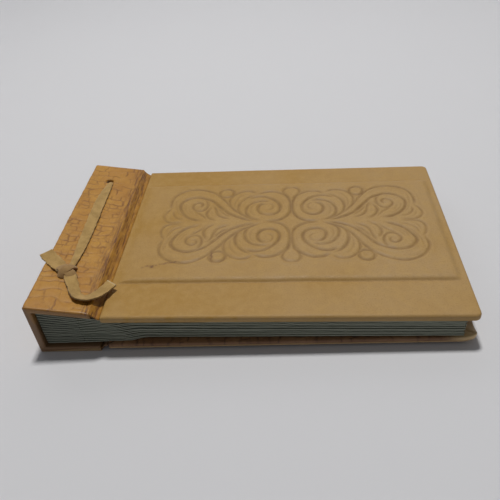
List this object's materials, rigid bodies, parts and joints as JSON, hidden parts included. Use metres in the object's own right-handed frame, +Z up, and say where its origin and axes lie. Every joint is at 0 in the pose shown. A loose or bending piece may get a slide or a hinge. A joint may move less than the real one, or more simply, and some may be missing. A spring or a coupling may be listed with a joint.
{
  "type": "scrapbook album",
  "caption": "Lace-bound leather scrapbook album with embossed spine, tooled padded front cover, hinged covers and dark card leaves.",
  "frame": {"origin": "under the middle of the closed album, on the surface that it lies on, leaving the lace out of the box", "axes": "+X from the spine to the fore-edge, +Y from the tail edge to the head edge, +Z up through the front cover"},
  "size_m": [0.302, 0.1906, 0.0475],
  "materials": {
    "embossed_leather": "embossed scales, glazed tan with darker cracks",
    "tooled_leather": "tooled natural vegetable-tanned tan, satin",
    "lace": "soft suede-like grey beige",
    "leaf_paper": "matte grey-green album card",
    "board": "grey-brown binder's board",
    "padding": "soft pressed card",
    "lining": "brown lining paper"
  },
  "bodies": {
    "binding": {"binding_leather": "embossed_leather", "spine_board": "board", "spine_lining": "lining", "front_margin_board": "board", "front_margin_lining": "lining", "back_margin_board": "board", "back_margin_lining": "lining", "front_hinge_leather": "embossed_leather", "back_hinge_leather": "embossed_leather", "guard_strips": "leaf_paper", "leaf_root_01": "leaf_paper", "leaf_root_02": "leaf_paper", "leaf_root_03": "leaf_paper", "leaf_root_04": "leaf_paper", "leaf_root_05": "leaf_paper", "leaf_root_06": "leaf_paper", "leaf_root_07": "leaf_paper", "leaf_root_08": "leaf_paper", "leaf_root_09": "leaf_paper", "leaf_root_10": "leaf_paper", "leaf_root_11": "leaf_paper", "leaf_root_12": "leaf_paper", "leaf_root_13": "leaf_paper", "leaf_root_14": "leaf_paper", "lace_run": "lace", "lace_knot": "lace", "lace_tail_short": "lace", "lace_under": "lace"},
    "front_cover": {"front_cover_leather": "tooled_leather", "front_cover_board": "board", "front_cover_panel": "padding", "front_cover_lining": "lining"},
    "back_cover": {"back_cover_leather": "embossed_leather", "back_cover_board": "board", "back_cover_panel": "padding", "back_cover_lining": "lining"},
    "leaf_01": {"leaf_01": "leaf_paper"},
    "leaf_02": {"leaf_02": "leaf_paper"},
    "leaf_03": {"leaf_03": "leaf_paper"},
    "leaf_04": {"leaf_04": "leaf_paper"},
    "leaf_05": {"leaf_05": "leaf_paper"},
    "leaf_06": {"leaf_06": "leaf_paper"},
    "leaf_07": {"leaf_07": "leaf_paper"},
    "leaf_08": {"leaf_08": "leaf_paper"},
    "leaf_09": {"leaf_09": "leaf_paper"},
    "leaf_10": {"leaf_10": "leaf_paper"},
    "leaf_11": {"leaf_11": "leaf_paper"},
    "leaf_12": {"leaf_12": "leaf_paper"},
    "leaf_13": {"leaf_13": "leaf_paper"},
    "leaf_14": {"leaf_14": "leaf_paper"},
    "lace_end": {"lace_tail_long": "lace"}
  },
  "joints": [
    {"name": "front_hinge", "type": "hinge", "parent": "binding", "child": "front_cover", "pos_m": [-0.1035, 0, 0.03476], "axis": [0, -1, 0], "range_deg": [0, 150]},
    {"name": "back_hinge", "type": "hinge", "parent": "binding", "child": "back_cover", "pos_m": [-0.1035, 0, 0.0009], "axis": [0, 1, 0], "range_deg": [0, 165]},
    {"name": "leaf_01_crease", "type": "hinge", "parent": "binding", "child": "leaf_01", "pos_m": [-0.08335, 0, 0.00785], "axis": [0, -1, 0], "range_deg": [0, 9.01]},
    {"name": "leaf_02_crease", "type": "hinge", "parent": "binding", "child": "leaf_02", "pos_m": [-0.0844, 0, 0.00927], "axis": [0, -1, 0], "range_deg": [0, 16.29]},
    {"name": "leaf_03_crease", "type": "hinge", "parent": "binding", "child": "leaf_03", "pos_m": [-0.08545, 0, 0.01069], "axis": [0, -1, 0], "range_deg": [0, 23.55]},
    {"name": "leaf_04_crease", "type": "hinge", "parent": "binding", "child": "leaf_04", "pos_m": [-0.0865, 0, 0.0121], "axis": [0, -1, 0], "range_deg": [0, 30.82]},
    {"name": "leaf_05_crease", "type": "hinge", "parent": "binding", "child": "leaf_05", "pos_m": [-0.08755, 0, 0.01353], "axis": [0, -1, 0], "range_deg": [0, 38.08]},
    {"name": "leaf_06_crease", "type": "hinge", "parent": "binding", "child": "leaf_06", "pos_m": [-0.0886, 0, 0.01496], "axis": [0, -1, 0], "range_deg": [0, 45.35]},
    {"name": "leaf_07_crease", "type": "hinge", "parent": "binding", "child": "leaf_07", "pos_m": [-0.08965, 0, 0.01639], "axis": [0, -1, 0], "range_deg": [0, 52.63]},
    {"name": "leaf_08_crease", "type": "hinge", "parent": "binding", "child": "leaf_08", "pos_m": [-0.0907, 0, 0.01782], "axis": [0, -1, 0], "range_deg": [0, 59.89]},
    {"name": "leaf_09_crease", "type": "hinge", "parent": "binding", "child": "leaf_09", "pos_m": [-0.09175, 0, 0.01926], "axis": [0, -1, 0], "range_deg": [0, 67.17]},
    {"name": "leaf_10_crease", "type": "hinge", "parent": "binding", "child": "leaf_10", "pos_m": [-0.0928, 0, 0.0207], "axis": [0, -1, 0], "range_deg": [0, 74.44]},
    {"name": "leaf_11_crease", "type": "hinge", "parent": "binding", "child": "leaf_11", "pos_m": [-0.09385, 0, 0.02215], "axis": [0, -1, 0], "range_deg": [0, 81.7]},
    {"name": "leaf_12_crease", "type": "hinge", "parent": "binding", "child": "leaf_12", "pos_m": [-0.0949, 0, 0.0236], "axis": [0, -1, 0], "range_deg": [0, 88.97]},
    {"name": "leaf_13_crease", "type": "hinge", "parent": "binding", "child": "leaf_13", "pos_m": [-0.09595, 0, 0.02505], "axis": [0, -1, 0], "range_deg": [0, 96.23]},
    {"name": "leaf_14_crease", "type": "hinge", "parent": "binding", "child": "leaf_14", "pos_m": [-0.097, 0, 0.02651], "axis": [0, -1, 0], "range_deg": [0, 103.51]},
    {"name": "lace_end_lift", "type": "hinge", "parent": "binding", "child": "lace_end", "pos_m": [-0.13, 0, 0.0416], "axis": [0, -1, 0], "range_deg": [0, 157.51]}
  ],
  "couplings": [
    {"joint": "leaf_01_crease", "follows": "front_hinge", "ratio": 0.06},
    {"joint": "leaf_02_crease", "follows": "front_hinge", "ratio": 0.1085},
    {"joint": "leaf_03_crease", "follows": "front_hinge", "ratio": 0.1569},
    {"joint": "leaf_04_crease", "follows": "front_hinge", "ratio": 0.2054},
    {"joint": "leaf_05_crease", "follows": "front_hinge", "ratio": 0.2538},
    {"joint": "leaf_06_crease", "follows": "front_hinge", "ratio": 0.3023},
    {"joint": "leaf_07_crease", "follows": "front_hinge", "ratio": 0.3508},
    {"joint": "leaf_08_crease", "follows": "front_hinge", "ratio": 0.3992},
    {"joint": "leaf_09_crease", "follows": "front_hinge", "ratio": 0.4477},
    {"joint": "leaf_10_crease", "follows": "front_hinge", "ratio": 0.4962},
    {"joint": "leaf_11_crease", "follows": "front_hinge", "ratio": 0.5446},
    {"joint": "leaf_12_crease", "follows": "front_hinge", "ratio": 0.5931},
    {"joint": "leaf_13_crease", "follows": "front_hinge", "ratio": 0.6415},
    {"joint": "leaf_14_crease", "follows": "front_hinge", "ratio": 0.69},
    {"joint": "lace_end_lift", "follows": "front_hinge", "ratio": 1.05}
  ]
}
